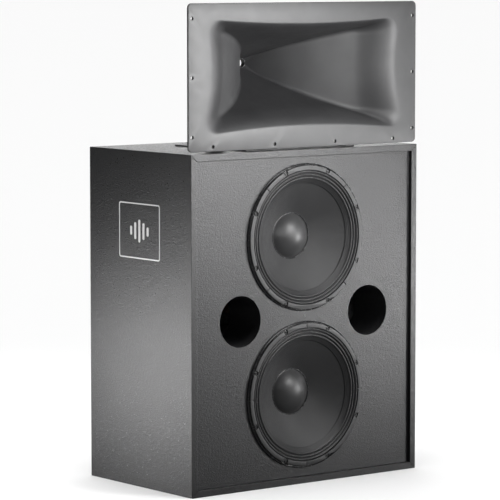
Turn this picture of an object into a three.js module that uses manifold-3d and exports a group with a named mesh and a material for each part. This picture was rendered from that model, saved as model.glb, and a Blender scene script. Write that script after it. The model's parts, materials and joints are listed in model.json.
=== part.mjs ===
// A two-way public-address loudspeaker: a ported bass cabinet that holds two 15-inch woofers,
// with a wide horn on a tilting bracket standing on its top.
// Millimetres, +Z up, the front faces -Y, +X is on the right of someone facing the front.
// The origin is the middle of the underside.

import * as THREE from 'three';
import { mergeVertices } from 'three/addons/utils/BufferGeometryUtils.js';
import Module from 'manifold-3d';

const wasm = await Module();
wasm.setup();

// ---- Driving dimensions ----

const GAP = 0.3; // between two pieces that touch
const FINE = 32; // sides of a large turned piece
const COARSE = 20; // sides of a small or hidden turned piece
const TINY = 12; // sides of a hole or a screw

const CABINET = { width: 757, depth: 444, height: 878, panel: 18, recess: 9.3 };
const FRONT = -CABINET.depth / 2;
const BACK = CABINET.depth / 2;
const SIDE = CABINET.width / 2;
const INNER_SIDE = SIDE - CABINET.panel;
const INNER_TOP = CABINET.height - CABINET.panel;
const BAFFLE_FRONT = FRONT + CABINET.recess;
const BAFFLE_BACK = BAFFLE_FRONT + CABINET.panel;
const REAR_FACE = BACK - CABINET.panel; // inner face of the rear panel

const WOOFER_Z = { upper: 648, lower: 234.5 };
const WOOFER = { rim: 193.5, cutout: 177, screws: 8, screwCircle: 183 };
const PORT = { x: 214.4, z: 441.3, bore: 66.5, wall: 3.5, length: 130, rebate: 8 };
const BRACE = { half: 20, z: 441.3 };
const LINING = 25;
const BADGE = { depth: 178, height: 145, thickness: 0.8, z: 670 };

const CUP = { z: 310, halfWidth: 42, halfHeight: 32, lip: 10, plate: 3, floor: 192, wall: 2.5 };
const POST_X = 9.5; // half of the usual 19 mm spacing of two binding posts
const BOARD = { x: 160, z: 310, halfWidth: 80, halfHeight: 60, thickness: 2 };

const HORN = {
  halfWidth: 380.75,
  bottom: 883.3,
  top: 1259.3,
  front: -213.4,
  flange: 6.5,
  corner: 12,
  axis: 1094.5, // height of the throat
  throat: 57, // where the bell ends at the back
  throatRadius: 12.7, // a 1-inch driver
  boss: 45,
  wall: 5,
  sideSlope: 0.5, // growth of the half width for each millimetre forward, at the throat
  sideFlare: 0.0024, // and how fast that growth rises
  upSlope: 0.39,
  downSlope: 0.57,
  lips: -178, // where the walls meet the rounded lips of the mouth
  holeRadius: 4.25,
  holeInset: 12,
};
const THROAT_PLATE = { halfWidth: 78, halfHeight: 60, thickness: 15 };
const PIVOT = { y: -180, z: 905, radius: 4, clearance: 0.3 };
const CLAMP = { y: HORN.throat + GAP + THROAT_PLATE.thickness / 2, z: 1060 };
const BRACKET = { halfWidth: 182, front: -195, back: 110, steel: 3 };
const TILT = { up: 5, down: 8 }; // degrees

// ---- Geometry helpers ----

// Signed volume, positive when the faces point out.
function volumeOf(geometry) {
  const position = geometry.attributes.position;
  const index = geometry.index.array;
  const [a, b, c] = [new THREE.Vector3(), new THREE.Vector3(), new THREE.Vector3()];
  let volume = 0;
  for (let i = 0; i < index.length; i += 3) {
    a.fromBufferAttribute(position, index[i]);
    b.fromBufferAttribute(position, index[i + 1]);
    c.fromBufferAttribute(position, index[i + 2]);
    volume += a.dot(b.cross(c)) / 6;
  }
  return volume;
}

// The same surface with shared vertices, no collapsed triangles and its faces pointing out.
function closed(geometry) {
  const bare = geometry.clone();
  bare.deleteAttribute('normal');
  bare.deleteAttribute('uv');
  const merged = mergeVertices(bare, 1e-3);
  const index = merged.index.array;
  const kept = [];
  for (let i = 0; i < index.length; i += 3) {
    const [a, b, c] = index.slice(i, i + 3);
    if (a !== b && b !== c && c !== a) kept.push(a, b, c);
  }
  merged.setIndex(kept);
  if (volumeOf(merged) < 0) merged.setIndex(kept.reverse());
  return merged;
}

function solid(geometry) {
  const mesh = closed(geometry);
  return new wasm.Manifold(new wasm.Mesh({
    numProp: 3,
    vertProperties: new Float32Array(mesh.attributes.position.array),
    triVerts: new Uint32Array(mesh.index.array),
  }));
}

function surface(manifold) {
  const mesh = manifold.getMesh();
  const geometry = new THREE.BufferGeometry();
  geometry.setAttribute('position', new THREE.BufferAttribute(mesh.vertProperties, 3));
  geometry.setIndex(new THREE.BufferAttribute(mesh.triVerts, 1));
  return geometry;
}

function cut(body, ...tools) {
  return surface(tools.reduce((rest, tool) => rest.subtract(solid(tool)), solid(body)));
}

function join(...bodies) {
  return surface(bodies.map(solid).reduce((whole, body) => whole.add(body)));
}

function box([x0, x1], [y0, y1], [z0, z1]) {
  const geometry = new THREE.BoxGeometry(x1 - x0, y1 - y0, z1 - z0);
  return geometry.translate((x0 + x1) / 2, (y0 + y1) / 2, (z0 + z1) / 2);
}

// A cylinder along Y or X, at a point of the plane across it.
function rodY(radius, [y0, y1], x, z, sides = TINY) {
  const geometry = new THREE.CylinderGeometry(radius, radius, y1 - y0, sides);
  return geometry.translate(x, (y0 + y1) / 2, z);
}

function rodX(radius, [x0, x1], y, z, sides = TINY) {
  const geometry = new THREE.CylinderGeometry(radius, radius, x1 - x0, sides);
  return geometry.rotateZ(Math.PI / 2).translate((x0 + x1) / 2, y, z);
}

function extruded(outline, depth) {
  return new THREE.ExtrudeGeometry(outline, { depth, bevelEnabled: false, curveSegments: 4 });
}

function outlineOf(points) {
  return new THREE.Shape(points.map(([a, b]) => new THREE.Vector2(a, b)));
}

function roundedRectangle(halfWidth, low, high, corner) {
  const outline = new THREE.Shape();
  outline.absarc(halfWidth - corner, low + corner, corner, -Math.PI / 2, 0);
  outline.absarc(halfWidth - corner, high - corner, corner, 0, Math.PI / 2);
  outline.absarc(corner - halfWidth, high - corner, corner, Math.PI / 2, Math.PI);
  outline.absarc(corner - halfWidth, low + corner, corner, Math.PI, Math.PI * 1.5);
  return outline;
}

// An outline drawn in X and Z, given a thickness along Y.
function prismY(outline, [y0, y1]) {
  return extruded(outline, y1 - y0).rotateX(Math.PI / 2).translate(0, y1, 0);
}

// An outline drawn in Y and Z, given a thickness along X.
function prismX(outline, [x0, x1]) {
  const turn = new THREE.Matrix4().set(0, 0, 1, 0, 1, 0, 0, 0, 0, 1, 0, 0, 0, 0, 0, 1);
  return extruded(outline, x1 - x0).applyMatrix4(turn).translate(x0, 0, 0);
}

// A profile of [radius, y] turned about the Y axis. A ring's profile closes on itself.
function turned(profile, sides) {
  return new THREE.LatheGeometry(profile.map(([r, y]) => new THREE.Vector2(r, y)), sides);
}

function ring(profile, sides) {
  return turned([...profile, profile[0]], sides);
}

function wire(radius, points) {
  const path = new THREE.CatmullRomCurve3(points.map((p) => new THREE.Vector3(...p)));
  const section = new THREE.Shape().absarc(0, 0, radius, 0, 2 * Math.PI);
  const steps = 3 * (points.length - 1);
  const options = { steps, extrudePath: path, bevelEnabled: false, curveSegments: 4 };
  return new THREE.ExtrudeGeometry(section, options);
}

function mirrored(geometry) {
  return geometry.clone().scale(-1, 1, 1);
}

// ---- Materials ----

function material(color, roughness, metalness = 0) {
  return new THREE.MeshStandardMaterial({ color, roughness, metalness });
}

const cabinetPaint = material(0x2b2c2d, 0.75);
const bareWood = material(0xa98c62, 0.8);
const hornPlastic = material(0x3d3e40, 0.55);
const steelPaint = material(0x222324, 0.5, 0.4);
const castFrame = material(0x1d1e1f, 0.45, 0.5);
const plainSteel = material(0x8d9092, 0.4, 0.9);
const ferrite = material(0x2a2a2c, 0.8);
const paper = material(0x232425, 0.9);
const cloth = material(0x1b1b1c, 0.95);
const gasketCard = material(0x303234, 0.9);
const felt = material(0x55565a, 1);
const blackPlastic = material(0x18191a, 0.5);
const redPlastic = material(0xa01818, 0.45);
const brass = material(0xc8a24a, 0.3, 1);
const copper = material(0xb87333, 0.4, 0.9);
const cableJacket = material(0x202020, 0.6);
const boardGreen = material(0x2f5a3a, 0.6);
const badgePrint = material(0xe8e8e6, 0.5);

const loudspeaker = new THREE.Group();

function piece(name, geometry, itsMaterial, parent = loudspeaker) {
  const finished = closed(geometry);
  finished.computeVertexNormals();
  const mesh = new THREE.Mesh(finished, itsMaterial);
  mesh.name = name;
  parent.add(mesh);
  return mesh;
}

// ---- Cabinet ----

// Side, top and bottom panels meet in mitres, so each cross-section is a trapezium.
function shell() {
  const seam = 0.2;
  const side = prismY(outlineOf([
    [-SIDE, seam],
    [-INNER_SIDE, CABINET.panel + seam],
    [-INNER_SIDE, INNER_TOP - seam],
    [-SIDE, CABINET.height - seam],
  ]), [FRONT, BACK]);
  const level = (outer, inner) => prismY(outlineOf([
    [-SIDE + seam, outer],
    [-INNER_SIDE + seam, inner],
    [INNER_SIDE - seam, inner],
    [SIDE - seam, outer],
  ]), [FRONT, BACK]);
  piece('left_side_panel', side, cabinetPaint);
  piece('right_side_panel', mirrored(side), cabinetPaint);
  piece('top_panel', level(CABINET.height, INNER_TOP), cabinetPaint);
  piece('bottom_panel', level(0, CABINET.panel), cabinetPaint);
}

const INSIDE_X = [-INNER_SIDE + GAP, INNER_SIDE - GAP];
const INSIDE_Z = [CABINET.panel + GAP, INNER_TOP - GAP];

function frontBaffle() {
  const through = [BAFFLE_FRONT - 1, BAFFLE_BACK + 1];
  const rebate = [BAFFLE_BACK - PORT.rebate, BAFFLE_BACK + 1];
  const openings = Object.values(WOOFER_Z).map((z) => rodY(WOOFER.cutout, through, 0, z, FINE));
  for (const x of [-PORT.x, PORT.x]) {
    openings.push(rodY(PORT.bore, through, x, PORT.z, COARSE));
    openings.push(rodY(PORT.bore + PORT.wall + GAP, rebate, x, PORT.z, COARSE));
  }
  openings.push(braceScrew(GAP));
  const panel = box(INSIDE_X, [BAFFLE_FRONT, BAFFLE_BACK], INSIDE_Z);
  piece('front_baffle', cut(panel, ...openings), cabinetPaint);
}

// A countersunk wood screw, or the hole for it when it is grown by a clearance.
function braceScrew(clearance) {
  const front = BAFFLE_FRONT - (clearance ? 1 : -0.2);
  const [head, shank] = [4 + clearance, 2.2 + clearance];
  const seat = BAFFLE_FRONT + 0.8 + clearance;
  const [neck, tip] = [seat + 2.2, seat + 48];
  const profile = [[0, front], [head, front], [head, seat], [shank, neck], [shank, tip], [0, tip]];
  return turned(profile, TINY).translate(0, 0, BRACE.z);
}

function inside() {
  const z = [BRACE.z - BRACE.half, BRACE.z + BRACE.half];
  const brace = box([-BRACE.half, BRACE.half], [BAFFLE_BACK + GAP, REAR_FACE - GAP], z);
  piece('centre_brace', cut(brace, braceScrew(GAP)), bareWood);
  piece('brace_screw', braceScrew(0), steelPaint);

  const padX = [-INNER_SIDE + GAP, -INNER_SIDE + LINING];
  const padZ = [CABINET.panel + 6, INNER_TOP - 6];
  const sidePad = box(padX, [BAFFLE_BACK + 6, REAR_FACE - LINING - 6], padZ);
  piece('lining_left', sidePad, felt);
  piece('lining_right', mirrored(sidePad), felt);
  const rearPad = box([-355, 355], [REAR_FACE - LINING, REAR_FACE - GAP], padZ);
  const past = [REAR_FACE - LINING - 1, REAR_FACE + 1];
  const forBrace = box([-BRACE.half - 2, BRACE.half + 2], past, [z[0] - 2, z[1] + 2]);
  const edge = BOARD.x + BOARD.halfWidth + 8;
  const top = BOARD.z + BOARD.halfHeight + 8;
  const forCupAndBoard = box([-62, edge], past, [2 * BOARD.z - top, top]);
  piece('lining_rear', cut(rearPad, forBrace, forCupAndBoard), felt);
}

function ports() {
  const start = BAFFLE_BACK - PORT.rebate + GAP;
  const end = BAFFLE_FRONT + PORT.length;
  const outer = PORT.bore + PORT.wall;
  const tube = ring([[PORT.bore, start], [outer, start], [outer, end], [PORT.bore, end]], COARSE);
  for (const [name, x] of [['port_tube_left', -PORT.x], ['port_tube_right', PORT.x]]) {
    piece(name, tube.clone().translate(x, 0, PORT.z), blackPlastic);
  }
}

function sideBadge() {
  const half = BADGE.depth / 2;
  const [low, high] = [BADGE.z - BADGE.height / 2, BADGE.z + BADGE.height / 2];
  const x = -SIDE - GAP;
  piece('side_badge', prismX(roundedRectangle(half, low, high, 8), [x - BADGE.thickness, x]), badgePrint);
}

// ---- Woofers ----

// The front face of a cone, at a radius, as a distance behind the front of the baffle.
function coneFace(radius) {
  return -1 + (152 - radius) * 0.674;
}

function basket() {
  const body = ring([
    [172, -4.3], [WOOFER.rim, -4.3], [WOOFER.rim, -GAP], [174.5, -GAP], [173.5, 24],
    [112, 86], [104, 88], [104, 104], [56, 104], [56, 100],
    [98, 100], [98, 87], [90, 87], [90, 83], [107, 83], [169, 22],
  ], FINE);
  const windows = [];
  for (let i = 0; i < 8; i += 1) {
    const window = box([-36, 36], [34, 79], [100, 190]);
    windows.push(window.rotateY(((i + 0.5) * Math.PI) / 4));
  }
  return cut(body, ...windows);
}

function gasket() {
  const front = BAFFLE_FRONT - FRONT;
  const body = ring([[176.7, 0.3 - front], [189, 0.3 - front], [189, -5.7], [176.7, -5.7]], FINE);
  const holes = [];
  for (let i = 0; i < WOOFER.screws; i += 1) {
    const hole = rodY(4, [-front - 1, -4], 0, WOOFER.screwCircle, 8);
    holes.push(hole.rotateY(((i + 0.5) * 2 * Math.PI) / WOOFER.screws));
  }
  return cut(body, ...holes);
}

// A pleated cloth ring, from the frame to the edge of the cone.
function surround() {
  const pleats = [[172, -4.9], [168.5, -8], [165, -4.4], [161.5, -7.4], [158, -3.6], [154, -4.4]];
  const front = [[187, -5.6], ...pleats.map(([r, y]) => [r, y - 0.7]), [146, coneFace(146) - 1.2]];
  const back = front.map(([r, y]) => [r, y + 0.9]).reverse();
  return ring([...front, ...back], FINE);
}

function dustCap() {
  const [base, height, thickness] = [58, 24, 1.2];
  const radius = (base * base + height * height) / (2 * height);
  const centre = coneFace(base) - 1 - height + radius;
  const reach = Math.asin(base / radius);
  const arc = (r) => [0, 1, 2, 3].map((i) => [
    r * Math.sin((reach * i) / 3),
    centre - r * Math.cos((reach * i) / 3),
  ]);
  return turned([...arc(radius), ...arc(radius - thickness).reverse()], FINE);
}

function spider() {
  const front = [[51, 80.5], [60, 78.5], [69, 81.5], [78, 78.5], [87, 81.4], [97, 81.4]];
  const back = front.map(([r, y]) => [r, y + 0.9]).reverse();
  return ring([...front, ...back], COARSE);
}

function woofer(where, z, terminalSide) {
  const group = new THREE.Group();
  group.position.set(0, BAFFLE_FRONT, z);
  loudspeaker.add(group);
  const add = (name, geometry, itsMaterial) => piece(`${where}_${name}`, geometry, itsMaterial, group);

  add('basket', basket(), castFrame);
  add('gasket', gasket(), gasketCard);
  add('surround', surround(), cloth);
  const [rim, neck] = [152, 51];
  const depth = 1.9; // of the paper, along the axis
  add('cone', ring([
    [rim, coneFace(rim)], [neck, coneFace(neck)],
    [neck, coneFace(neck) + depth], [rim, coneFace(rim) + depth],
  ], FINE), paper);
  add('dust_cap', dustCap(), paper);
  add('voice_coil', ring([
    [49.4, 63], [50.4, 63], [50.4, 98], [50.9, 98.2], [50.9, 118], [49.4, 118],
  ], COARSE), copper);
  add('spider', spider(), cloth);
  add('top_plate', ring([[51.5, 104.3], [95, 104.3], [95, 114.3], [51.5, 114.3]], COARSE), plainSteel);
  add('magnet', ring([[58, 114.6], [110, 114.6], [110, 134.6], [58, 134.6]], COARSE), ferrite);
  add('yoke', ring([
    [12, 104.3], [48.6, 104.3], [48.6, 134.9], [105, 134.9], [102, 146.9], [12, 146.9],
  ], COARSE), plainSteel);
  const reach = [104.3 * terminalSide, 112 * terminalSide].sort((a, b) => a - b);
  add('terminal', box([-12, 12], [89, 99], reach), blackPlastic);
}

// ---- Rear connections ----

function rearPanel() {
  const hole = box(
    [-CUP.halfWidth - GAP, CUP.halfWidth + GAP],
    [REAR_FACE - 1, BACK + 1],
    [CUP.z - CUP.halfHeight - GAP, CUP.z + CUP.halfHeight + GAP],
  );
  const reach = CUP.lip + GAP;
  const rebate = box(
    [-CUP.halfWidth - reach, CUP.halfWidth + reach],
    [BACK - CUP.plate - 2 * GAP, BACK + 1],
    [CUP.z - CUP.halfHeight - reach, CUP.z + CUP.halfHeight + reach],
  );
  piece('rear_panel', cut(box(INSIDE_X, [REAR_FACE, BACK], INSIDE_Z), hole, rebate), cabinetPaint);
}

function inputCup() {
  const outside = BACK - GAP;
  const centred = (halfWidth, halfHeight, y) => box(
    [-halfWidth, halfWidth], y, [CUP.z - halfHeight, CUP.z + halfHeight],
  );
  const lip = centred(CUP.halfWidth + CUP.lip, CUP.halfHeight + CUP.lip, [outside - CUP.plate, outside]);
  const well = centred(CUP.halfWidth, CUP.halfHeight, [CUP.floor, outside - 1]);
  const hollow = centred(
    CUP.halfWidth - CUP.wall, CUP.halfHeight - CUP.wall, [CUP.floor + CUP.wall, outside + 1],
  );
  const posts = [-POST_X, POST_X].map((x) => rodY(3.4, [CUP.floor - 1, CUP.floor + 4], x, CUP.z));
  piece('input_cup', cut(join(lip, well), hollow, ...posts), blackPlastic);
}

function bindingPosts() {
  const floor = CUP.floor + CUP.wall;
  const post = turned([
    [0, 178], [3, 178], [3, CUP.floor - 4], [5.5, CUP.floor - 4], [5.5, CUP.floor - GAP],
    [3, CUP.floor - GAP], [3, floor + GAP], [6.5, floor + GAP], [6.5, floor + 4.3],
    [3, floor + 4.3], [3, 216], [0, 216],
  ], TINY);
  const cap = ring([[3.3, 199.6], [7.5, 199.6], [7.5, 214], [6.5, 217.5], [3.3, 217.5]], TINY);
  for (const [colour, x, plastic] of [['red', POST_X, redPlastic], ['black', -POST_X, blackPlastic]]) {
    piece(`${colour}_post`, post.clone().translate(x, 0, CUP.z), brass);
    piece(`${colour}_cap`, cap.clone().translate(x, 0, CUP.z), plastic);
  }
}

function network() {
  const back = REAR_FACE - GAP;
  const face = back - BOARD.thickness;
  piece('network_board', box(
    [BOARD.x - BOARD.halfWidth, BOARD.x + BOARD.halfWidth],
    [face, back],
    [BOARD.z - BOARD.halfHeight, BOARD.z + BOARD.halfHeight],
  ), boardGreen);
  const onBoard = face - GAP;
  const coil = ring([[14, onBoard - 28], [32, onBoard - 28], [32, onBoard], [14, onBoard]], COARSE);
  piece('inductor', coil.translate(BOARD.x + 42, 0, BOARD.z), copper);
  piece('capacitor', rodX(13, [130, 175], onBoard - 13, BOARD.z + 30), blackPlastic);

  const contact = face - 2 * GAP;
  const [near, z] = [BOARD.x - 70, BOARD.z];
  const terminalY = BAFFLE_FRONT + 94;
  const upperEnd = WOOFER_Z.upper - 112 - 2 * GAP;
  const lowerEnd = WOOFER_Z.lower + 112 + 2 * GAP;
  piece('upper_lead', wire(3, [
    [near + 20, contact, z + 45], [near + 20, 170, z + 46], [85, 120, 385], [58, 20, 462],
    [30, -80, 496], [4, -113, 508], [0, terminalY, upperEnd - 12], [0, terminalY, upperEnd],
  ]), cableJacket);
  piece('lower_lead', wire(3, [
    [near + 20, contact, z - 45], [near + 20, 168, z - 45], [95, 100, 300], [55, 10, 350],
    [20, -80, 385], [3, -114, 374], [0, terminalY, lowerEnd + 12], [0, terminalY, lowerEnd],
  ]), cableJacket);
  piece('red_input_wire', wire(1.6, [
    [POST_X, 178 - GAP, CUP.z], [POST_X, 166, CUP.z], [50, 160, CUP.z + 8],
    [near, 175, z + 10], [near, contact, z + 10],
  ]), redPlastic);
  piece('black_input_wire', wire(1.6, [
    [-POST_X, 178 - GAP, CUP.z], [-POST_X, 158, CUP.z - 3], [45, 150, CUP.z - 12],
    [near, 172, z - 10], [near, contact, z - 10],
  ]), cableJacket);
}

// ---- Horn ----

const RING_SIDE = 8; // points along each side of a horn section

// One section of the horn, as a ring of points: a circle when square is 0, a rectangle when it is 1.
// The pinch draws the middle of each side in.
function section(y, halfWidth, up, down, square, pinch = 0) {
  const points = [];
  for (let side = 0; side < 4; side += 1) {
    for (let i = 0; i < RING_SIDE; i += 1) {
      const along = -1 + (2 * i) / RING_SIDE;
      const angle = ((side + along / 2) * Math.PI) / 2;
      const [sx, sz] = [[1, along], [-along, 1], [-1, -along], [along, -1]][side];
      const x = THREE.MathUtils.lerp(Math.cos(angle), sx, square);
      const z = THREE.MathUtils.lerp(Math.sin(angle), sz, square);
      const inX = 1 - pinch * (1 - z * z);
      const inZ = 1 - pinch * (1 - x * x);
      points.push([x * halfWidth * inX, y, HORN.axis + z * (z > 0 ? up : down) * inZ]);
    }
  }
  return points;
}

// A closed body from rings that go out along its inside and come back along its outside.
function loft(rings) {
  const count = rings[0].length;
  const positions = rings.flat(2);
  const index = [];
  rings.forEach((_, k) => {
    const next = (k + 1) % rings.length;
    for (let i = 0; i < count; i += 1) {
      const j = (i + 1) % count;
      const [a, b, c, d] = [k * count + i, k * count + j, next * count + j, next * count + i];
      index.push(a, b, c, a, c, d);
    }
  });
  const geometry = new THREE.BufferGeometry();
  geometry.setAttribute('position', new THREE.Float32BufferAttribute(positions, 3));
  geometry.setIndex(index);
  return geometry;
}

function hornBell() {
  const walls = (y, square, grown = 0) => {
    const forward = HORN.throat - y;
    const size = (slope) => HORN.throatRadius + forward * slope + grown;
    const halfWidth = size(HORN.sideSlope + forward * HORN.sideFlare);
    return section(y, halfWidth, size(HORN.upSlope), size(HORN.downSlope), square);
  };
  const [behind, back] = [HORN.front + HORN.flange, HORN.throat];
  const { wall, boss, bottom, top, axis } = HORN;
  const inner = [
    walls(back, 0), walls(back - 12, 0.6), walls(back - 32, 0.95),
    walls(-20, 1), walls(-80, 1), walls(-132, 1), walls(HORN.lips, 1),
    section(-203, 300, 113, 161, 0.99, 0.01), section(-211, 310, 118, 168, 0.97, 0.025),
    section(HORN.front, 314, 121, 172, 0.96, 0.03),
  ];
  const rim = [HORN.front, behind].map((y) => section(y, HORN.halfWidth, top - axis, axis - bottom, 1));
  const outer = [
    section(behind, 306 + wall, 117 + wall, 167 + wall, 0.98, 0.01),
    walls(HORN.lips, 1, wall + 3), walls(-132, 1, wall + 2), walls(-80, 1, wall + 1), walls(-20, 1, wall),
    walls(back - 32, 0.95, wall), walls(back - 14, 0.6, wall),
    section(back - 11, boss, boss, boss, 0), section(back, boss, boss, boss, 0),
  ];
  const { halfWidth, corner, holeRadius, holeInset } = HORN;
  const outline = prismY(roundedRectangle(halfWidth, bottom, top, corner), [HORN.front - 1, back + 1]);
  const middle = (top + bottom) / 2;
  const through = [HORN.front - 1, behind + 1];
  const holes = [];
  for (const side of [-1, 1]) {
    for (const rise of [-150, 0, 150]) {
      holes.push(rodY(holeRadius, through, side * (halfWidth - holeInset), middle + rise));
    }
    for (const x of [101, 302]) holes.push(rodY(holeRadius, through, side * x, bottom + holeInset));
  }
  const rounded = solid(loft([...inner, ...rim, ...outer])).intersect(solid(outline));
  piece('horn_bell', cut(surface(rounded), ...holes), hornPlastic);
}

function throatPlate() {
  const { halfWidth, halfHeight, thickness } = THROAT_PLATE;
  const y = [HORN.throat + GAP, HORN.throat + GAP + thickness];
  const past = [y[0] - 1, y[1] + 1];
  const outline = roundedRectangle(halfWidth, HORN.axis - halfHeight, HORN.axis + halfHeight, 10);
  const holes = [rodY(HORN.throatRadius, past, 0, HORN.axis, COARSE)];
  for (const x of [-38.1, 38.1]) holes.push(rodY(3.3, past, x, HORN.axis));
  const stud = 4 + GAP;
  for (const x of [[-halfWidth - 1, -58], [58, halfWidth + 1]]) {
    holes.push(rodX(stud, x, CLAMP.y, CLAMP.z));
  }
  piece('throat_plate', cut(prismY(outline, y), ...holes), plainSteel);
}

// ---- Horn bracket ----

function bracketBase() {
  const { halfWidth, front, back, steel } = BRACKET;
  const low = CABINET.height + GAP;
  const plate = box([-halfWidth, halfWidth], [front, back], [low, low + steel]);
  const ear = box([152, 152 + steel], [front, PIVOT.y + 15], [low + 1, PIVOT.z + 15]);
  const hole = rodX(PIVOT.radius + GAP, [-160, 160], PIVOT.y, PIVOT.z);
  piece('bracket_base', cut(join(plate, ear, mirrored(ear)), hole), steelPaint);
}

function lugs() {
  const { steel } = BRACKET;
  const [leaf, ear] = [HORN.front + HORN.flange + GAP, 147];
  const angle = outlineOf([
    [ear, leaf], [ear + 28, leaf], [ear + 28, leaf + steel], [ear + steel, leaf + steel],
    [ear + steel, PIVOT.y + 12], [ear, PIVOT.y + 12],
  ]);
  const bar = extruded(angle, 28).translate(0, 0, PIVOT.z - 14);
  const hole = rodX(PIVOT.radius + PIVOT.clearance, [ear - 1, ear + 5], PIVOT.y, PIVOT.z);
  const lug = cut(bar, hole);
  piece('right_lug', lug, steelPaint);
  piece('left_lug', mirrored(lug), steelPaint);
}

// A shouldered rivet through the bracket's ear and the horn's lug.
function pivots() {
  const [low, inner, outer] = [143.5, 147 - GAP, 155 + GAP];
  const rivet = turned([
    [0, low], [7, low], [7, inner], [PIVOT.radius, inner], [PIVOT.radius, outer],
    [8, outer], [8, outer + 2.5], [5, outer + 4], [0, outer + 4],
  ], TINY).rotateZ(-Math.PI / 2).translate(0, PIVOT.y, PIVOT.z);
  piece('right_pivot_pin', rivet, plainSteel);
  piece('left_pivot_pin', mirrored(rivet), plainSteel);
}

// The slot lets the clamp stud travel on its arc about the pivot.
function tiltSlot(x) {
  const radius = Math.hypot(CLAMP.y - PIVOT.y, CLAMP.z - PIVOT.z);
  const rest = Math.atan2(CLAMP.z - PIVOT.z, CLAMP.y - PIVOT.y);
  const spare = THREE.MathUtils.degToRad(1);
  const low = rest - THREE.MathUtils.degToRad(TILT.up) - spare;
  const high = rest + THREE.MathUtils.degToRad(TILT.down) + spare;
  const half = 4.5;
  const at = (r, angle) => [PIVOT.y + r * Math.cos(angle), PIVOT.z + r * Math.sin(angle)];
  const angles = [...Array(9).keys()].map((i) => THREE.MathUtils.lerp(low, high, i / 8));
  const outer = angles.map((angle) => at(radius + half, angle));
  const inner = angles.map((angle) => at(radius - half, angle)).reverse();
  return prismX(outlineOf([...outer, ...inner]), x);
}

function stays() {
  const { steel } = BRACKET;
  const [low, inner] = [CABINET.height + GAP + steel + GAP, 80.3];
  const blade = outlineOf([
    [25, low], [105, low], [105, 1016], [94, 1046], [72, 1084], [52, 1108],
    [30, 1108], [23, 1092], [23, 1060], [25, 1040],
  ]);
  const upright = cut(prismX(blade, [inner, inner + steel]), tiltSlot([inner - 1, inner + steel + 1]));
  const foot = box([inner, inner + 24], [25, 105], [low, low + steel]);
  const stay = join(upright, foot);
  piece('right_stay', stay, steelPaint);
  piece('left_stay', mirrored(stay), steelPaint);
}

// A lobed clamp knob with its stud.
function tiltKnobs() {
  const face = 80.3 + BRACKET.steel + GAP;
  const lobed = new THREE.Shape();
  const points = 24;
  for (let i = 0; i < points; i += 1) {
    const angle = (i * 2 * Math.PI) / points;
    const radius = 17 + 3 * Math.cos(6 * angle);
    const [y, z] = [CLAMP.y + radius * Math.cos(angle), CLAMP.z + radius * Math.sin(angle)];
    if (i) lobed.lineTo(y, z);
    else lobed.moveTo(y, z);
  }
  const knob = join(prismX(lobed, [face, face + 14]), rodX(4, [59, face + 1], CLAMP.y, CLAMP.z));
  piece('right_tilt_knob', knob, blackPlastic);
  piece('left_tilt_knob', mirrored(knob), blackPlastic);
}

shell();
frontBaffle();
inside();
ports();
sideBadge();
woofer('upper', WOOFER_Z.upper, -1);
woofer('lower', WOOFER_Z.lower, 1);
rearPanel();
inputCup();
bindingPosts();
network();
hornBell();
throatPlate();
bracketBase();
lugs();
pivots();
stays();
tiltKnobs();

export default loudspeaker;
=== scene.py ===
"""The looks of a two-way public-address loudspeaker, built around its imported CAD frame.

Metres, +Z up, the front faces -Y. Places come from the frame's nodes; sizes of fine detail are named here.
"""

import json
import math

import bmesh
import bpy
import numpy as np
from mathutils import Matrix, Vector, noise

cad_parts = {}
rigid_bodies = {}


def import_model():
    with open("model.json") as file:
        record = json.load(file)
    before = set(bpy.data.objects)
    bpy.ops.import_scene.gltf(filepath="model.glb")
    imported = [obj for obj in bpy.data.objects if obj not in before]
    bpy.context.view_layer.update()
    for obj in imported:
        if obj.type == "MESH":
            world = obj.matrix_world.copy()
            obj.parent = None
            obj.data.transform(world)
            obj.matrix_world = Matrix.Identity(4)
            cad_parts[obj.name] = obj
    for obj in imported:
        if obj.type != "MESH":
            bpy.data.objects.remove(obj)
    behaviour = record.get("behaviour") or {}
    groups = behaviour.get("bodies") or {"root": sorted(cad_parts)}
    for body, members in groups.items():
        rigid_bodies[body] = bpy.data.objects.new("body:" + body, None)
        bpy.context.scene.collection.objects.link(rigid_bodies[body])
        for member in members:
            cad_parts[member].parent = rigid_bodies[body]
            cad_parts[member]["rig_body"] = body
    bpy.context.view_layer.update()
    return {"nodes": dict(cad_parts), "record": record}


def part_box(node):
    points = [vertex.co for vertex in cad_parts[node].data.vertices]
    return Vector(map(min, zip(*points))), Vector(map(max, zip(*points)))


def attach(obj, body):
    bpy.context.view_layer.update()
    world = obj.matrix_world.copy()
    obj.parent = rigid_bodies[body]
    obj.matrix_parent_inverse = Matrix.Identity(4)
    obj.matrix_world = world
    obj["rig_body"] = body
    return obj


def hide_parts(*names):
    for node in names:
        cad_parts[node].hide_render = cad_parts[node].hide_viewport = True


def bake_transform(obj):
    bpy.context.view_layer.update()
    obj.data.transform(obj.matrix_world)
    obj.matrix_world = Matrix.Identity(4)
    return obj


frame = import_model()
MM = 0.001
SLOT_OF = {row["node"]: row["material_slot"] for row in frame["record"]["subparts"]}

# ---- Camera ----

CAMERA_TARGET = Vector((-0.015, 0.0, 0.599))
CAMERA_DISTANCE = 7.907
CAMERA_AZIMUTH = math.radians(-38.26)
CAMERA_ELEVATION = math.radians(5.55)
CAMERA_LENS = 213.7


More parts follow.
